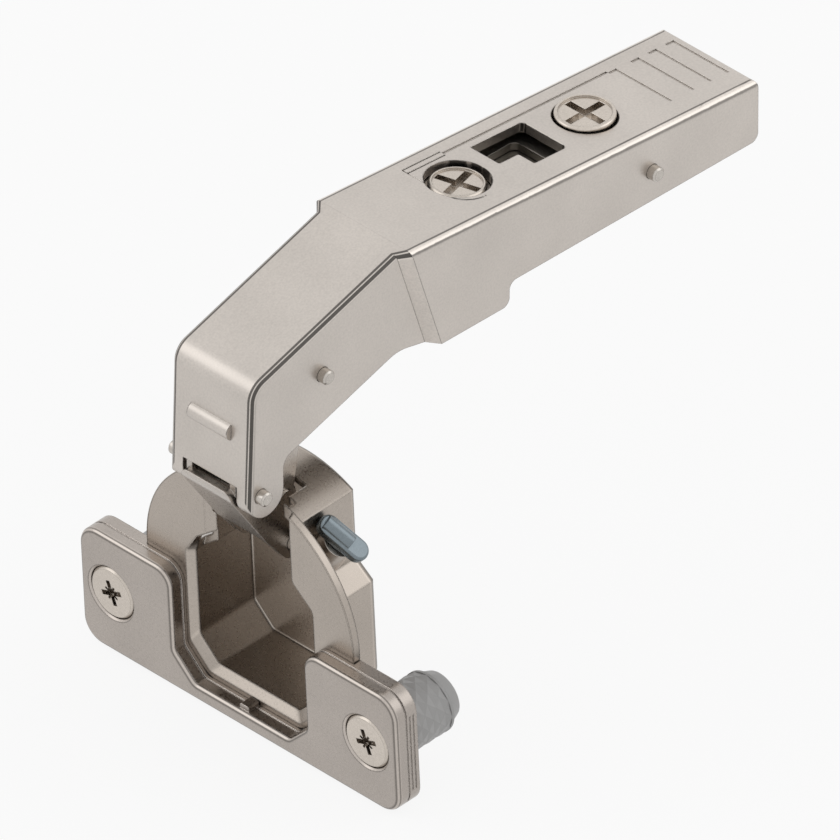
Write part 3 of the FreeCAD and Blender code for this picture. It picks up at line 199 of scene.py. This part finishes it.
def painted_edge_highlight(tree, rounded):
    """Painted highlight along edges: a bright middle between two painted dark borders."""
    flat = tree.nodes.new("ShaderNodeNewGeometry")
    dot = calculate(tree, "ShaderNodeVectorMath", "DOT_PRODUCT")
    tree.links.new(rounded, dot.inputs[0])
    tree.links.new(flat.outputs["Normal"], dot.inputs[1])
    share = node(tree, "ShaderNodeMapRange", From_Min=1.0, From_Max=EDGE_TURN)
    tree.links.new(dot.outputs["Value"], share.inputs["Value"])
    return tones(tree, share.outputs["Result"], PAINTED_EDGE_LINES)


def own_normal(tree, normal):
    """A normal in its own object's axes."""
    turn = tree.nodes.new("ShaderNodeVectorTransform")
    turn.vector_type = "NORMAL"
    turn.convert_from = "WORLD"
    turn.convert_to = "OBJECT"
    tree.links.new(normal, turn.inputs["Vector"])
    return turn.outputs["Vector"]


def lean(tree, axis, normal):
    """How far a normal looks along an axis of its own object, 0 to 1."""
    dot = calculate(tree, "ShaderNodeVectorMath", "DOT_PRODUCT")
    dot.inputs[1].default_value = axis
    tree.links.new(own_normal(tree, normal), dot.inputs[0])
    size = calculate(tree, "ShaderNodeMath", "ABSOLUTE")
    tree.links.new(dot.outputs["Value"], size.inputs[0])
    return size.outputs["Value"]


def bent_share(tree, normal):
    """1 where a normal leans forward and up, as on the arm's bent section and nose; 0 elsewhere."""
    parts = tree.nodes.new("ShaderNodeSeparateXYZ")
    tree.links.new(own_normal(tree, normal), parts.inputs["Vector"])
    both = calculate(tree, "ShaderNodeMath", "MULTIPLY")
    tree.links.new(parts.outputs["X"], both.inputs[0])
    tree.links.new(parts.outputs["Z"], both.inputs[1])
    share = node(tree, "ShaderNodeMapRange", From_Min=BENT_FROM, From_Max=BENT_FULL)
    tree.links.new(both.outputs["Value"], share.inputs["Value"])
    return share.outputs["Result"]


def painted_fold_reflections(tree, normal, axis, lines, bent=None):
    """Painted reflections: light and dark lines that follow folds, with a second set for a bent section.
    """
    across = lean(tree, axis, normal)
    tone = tones(tree, across, lines)
    if bent:
        tone = blend(tree, "MIX", tone, tones(tree, across, bent), bent_share(tree, normal))
    return tone


def painted_crevice_shade(tree, painted_shade_darkest):
    """Painted shade: a grey from ambient occlusion that darkens the colour where other faces come near.
    """
    near = tree.nodes.new("ShaderNodeAmbientOcclusion")
    near.samples = SAMPLES
    near.inputs["Distance"].default_value = PAINTED_SHADE_REACH
    return tones(tree, near.outputs["AO"], zip(PAINTED_SHADE_SPAN, (painted_shade_darkest, 1.0)))


def new_material(name, metallic, roughness):
    made = bpy.data.materials.new(name)
    made.use_nodes = True
    shader = made.node_tree.nodes["Principled BSDF"]
    shader.inputs["Metallic"].default_value = metallic
    shader.inputs["Roughness"].default_value = roughness
    return made, made.node_tree, shader


def finish_surface(tree, shader, tone, roughness, height, depth, rounded, painted_shade_darkest=PAINTED_SHADE_DARKEST):
    """Adds painted shade in crevices, painted edge highlights, uneven polish and a fine skin."""
    # Painted shade: darker where other faces come near, from ambient occlusion
    tone = multiply(tree, tone, painted_crevice_shade(tree, painted_shade_darkest))
    # Painted highlight along edges, between painted dark borders, then lifted
    tone = lift(tree, multiply(tree, tone, painted_edge_highlight(tree, rounded)))
    tree.links.new(tone, shader.inputs["Base Color"])
    tree.links.new(tones(tree, height, POLISH, roughness), shader.inputs["Roughness"])
    skin = node(tree, "ShaderNodeBump", Strength=depth, Distance=SKIN_HEIGHT)
    tree.links.new(height, skin.inputs["Height"])
    tree.links.new(rounded, skin.inputs["Normal"])
    tree.links.new(skin.outputs["Normal"], shader.inputs["Normal"])


def cloudy(tree, colour, size, detail, stops):
    """The colour, with soft clouds."""
    clouds = noise(tree, size, detail)
    return ramp(tree, clouds, [(place, shade(colour, factor)) for place, factor in stops])


def plated(name, colour, roughness, depth=PLATED_SKIN, edge=EDGE, fold_reflection=None, painted_shade_darkest=PAINTED_SHADE_DARKEST):
    """Satin plated metal: cloudy tone, fine speckle, and painted reflection lines along folds."""
    made, tree, shader = new_material(name, 1.0, roughness)
    tone = cloudy(tree, colour, CLOUD, CLOUD_DETAIL, CLOUD_TONES)
    fine = noise(tree, SPECKLE, FINE_DETAIL)
    tone = multiply(tree, tone, tones(tree, fine, SPECKLE_TONES))
    rounded = edge_normal(tree, edge)
    # Painted reflections: light and dark lines along folds, taken into the colour
    if fold_reflection:
        tone = lift(tree, multiply(tree, tone, painted_fold_reflections(tree, rounded, *fold_reflection)))
    finish_surface(tree, shader, tone, roughness, fine, depth, rounded, painted_shade_darkest)
    return made


def moulded(name, colour, roughness):
    """Moulded part: faint clouding and a fine pebbled skin."""
    made, tree, shader = new_material(name, 0.0, roughness)
    tone = cloudy(tree, colour, MOULDED_CLOUD, MOULDED_DETAIL, MOULDED_TONES)
    fine = noise(tree, PEBBLE, FINE_DETAIL)
    rounded = edge_normal(tree, MOULDED_EDGE)
    finish_surface(tree, shader, tone, roughness, fine, MOULDED_SKIN, rounded)
    return made


MATERIALS = {
    # The arm, cup and plate carry painted reflection lines along their folds
    "nickel_arm": plated("arm_nickel", rgb(202, 195, 188), 0.36, depth=0.25, edge=0.00015,
                         fold_reflection=(SIDE_WAY, REAR_PAINTED_REFLECTIONS, BENT_PAINTED_REFLECTIONS)),
    "nickel_cup": plated("cup_nickel", rgb(176, 167, 158), 0.30, depth=0.2, edge=0.0004,
                         fold_reflection=(CUP_WAY, CUP_PAINTED_REFLECTIONS)),
    "nickel_plate": plated("plate_nickel", rgb(176, 168, 161), 0.30, depth=0.2, edge=0.0002,
                           fold_reflection=(CUP_WAY, PLATE_PAINTED_REFLECTIONS)),
    "zinc_inner": plated("inner_zinc", rgb(150, 145, 138), 0.38),
    "steel_pin": plated("pin_steel", rgb(192, 186, 179), 0.24),
    "nickel_lever": plated("lever_nickel", rgb(192, 185, 178), 0.30),
    "spring_steel": plated("spring_wire", rgb(118, 114, 109), 0.32),
    # The screws get a deeper painted shade in their recesses
    "nickel_screw": plated("screw_nickel", rgb(205, 196, 186), 0.24, painted_shade_darkest=0.55),
    "grey_dowel": moulded("dowel_grey", rgb(168, 167, 166), 0.42),
    "blue_zinc": plated("switch_zinc", rgb(122, 131, 136), 0.26),
    "light_plastic": plated("boss_metal", rgb(190, 182, 174), 0.32),
    "dark_plastic": moulded("slider_dark", rgb(58, 58, 60), 0.5),
}


def dress_nodes():
    """Gives every piece the material of its slot."""
    slot_of = {p["node"]: p["material_slot"] for p in frame["record"]["subparts"]}
    for name, piece in frame["nodes"].items():
        made = MATERIALS[slot_of[name]]
        if not piece.material_slots:
            piece.data.materials.append(made)
        for slot in piece.material_slots:
            slot.material = made


def background_share(tree, factor=1.0):
    """The factor for the rays that see the background, which are camera, glossy and transmission rays."""
    sight = tree.nodes.new("ShaderNodeLightPath")
    seen = sight.outputs["Is Camera Ray"]
    for name in ("Is Glossy Ray", "Is Transmission Ray"):
        larger = calculate(tree, "ShaderNodeMath", "MAXIMUM")
        tree.links.new(seen, larger.inputs[0])
        tree.links.new(sight.outputs[name], larger.inputs[1])
        seen = larger.outputs["Value"]
    share = calculate(tree, "ShaderNodeMath", "MULTIPLY")
    share.inputs[1].default_value = factor
    tree.links.new(seen, share.inputs[0])
    return share.outputs["Value"]


def mix_shaders(tree, factor, first, second, out):
    """Sends the first or the second shader to the output, by a factor."""
    mix = tree.nodes.new("ShaderNodeMixShader")
    tree.links.new(factor, mix.inputs["Fac"])
    tree.links.new(first, mix.inputs[1])
    tree.links.new(second, mix.inputs[2])
    tree.links.new(mix.outputs["Shader"], out.inputs["Surface"])


def pale_floor():
    """Pale floor, white to the camera apart from the object's soft shadow."""
    z = cad_box[0][2] - FLOOR_DROP
    half = FLOOR_HALF
    mesh = bpy.data.meshes.new("floor")
    corners = [(-half, -half, z), (half, -half, z), (half, half, z), (-half, half, z)]
    mesh.from_pydata(corners, [], [(0, 1, 2, 3)])
    floor = bpy.data.objects.new("floor", mesh)
    bpy.context.collection.objects.link(floor)
    made, tree, shader = new_material("floor_pale", 0.0, FLOOR_ROUGHNESS)
    shader.inputs["Base Color"].default_value = grey(FLOOR_TONE)
    glow = node(tree, "ShaderNodeEmission", Color=grey(1.0), Strength=1.0)
    mix_shaders(tree, background_share(tree, 1.0 - FLOOR_SHADOW), shader.outputs["BSDF"],
                glow.outputs["Emission"], tree.nodes["Material Output"])
    mesh.materials.append(made)


def studio_world():
    """White background for the camera and the metal; a plain level for diffuse light."""
    world = bpy.data.worlds.new("studio")
    bpy.context.scene.world = world
    world.use_nodes = True
    tree = world.node_tree
    tree.nodes.clear()
    soft = node(tree, "ShaderNodeBackground", Color=grey(1.0), Strength=SKY_FOR_DIFFUSE)
    white = node(tree, "ShaderNodeBackground", Color=grey(1.0), Strength=1.0)
    out = tree.nodes.new("ShaderNodeOutputWorld")
    mix_shaders(tree, background_share(tree), soft.outputs["Background"],
                white.outputs["Background"], out)


def area_lamp(name, place, size, power):
    """Square soft lamp that looks at the object."""
    lamp = bpy.data.lights.new(name, "AREA")
    lamp.shape = "SQUARE"
    lamp.size = size
    lamp.energy = power
    made = bpy.data.objects.new(name, lamp)
    made.location = place
    way = AIM - Vector(place)
    made.rotation_euler = way.to_track_quat("-Z", "Y").to_euler()
    bpy.context.collection.objects.link(made)


def camera():
    """Long lens from far away, which comes near the photograph's parallel view."""
    lens = bpy.data.cameras.new("camera")
    lens.sensor_width = SENSOR
    lens.lens = LENS
    lens.clip_end = CLIP_END
    made = bpy.data.objects.new("camera", lens)
    made.location = AIM + VIEW_WAY * CAMERA_DISTANCE
    made.rotation_euler = (-VIEW_WAY).to_track_quat("-Z", "Y").to_euler()
    bpy.context.collection.objects.link(made)
    bpy.context.scene.camera = made


dress_nodes()
pale_floor()
studio_world()
for values in LAMPS:
    area_lamp(*values)
camera()
bpy.context.scene.view_settings.view_transform = "Standard"
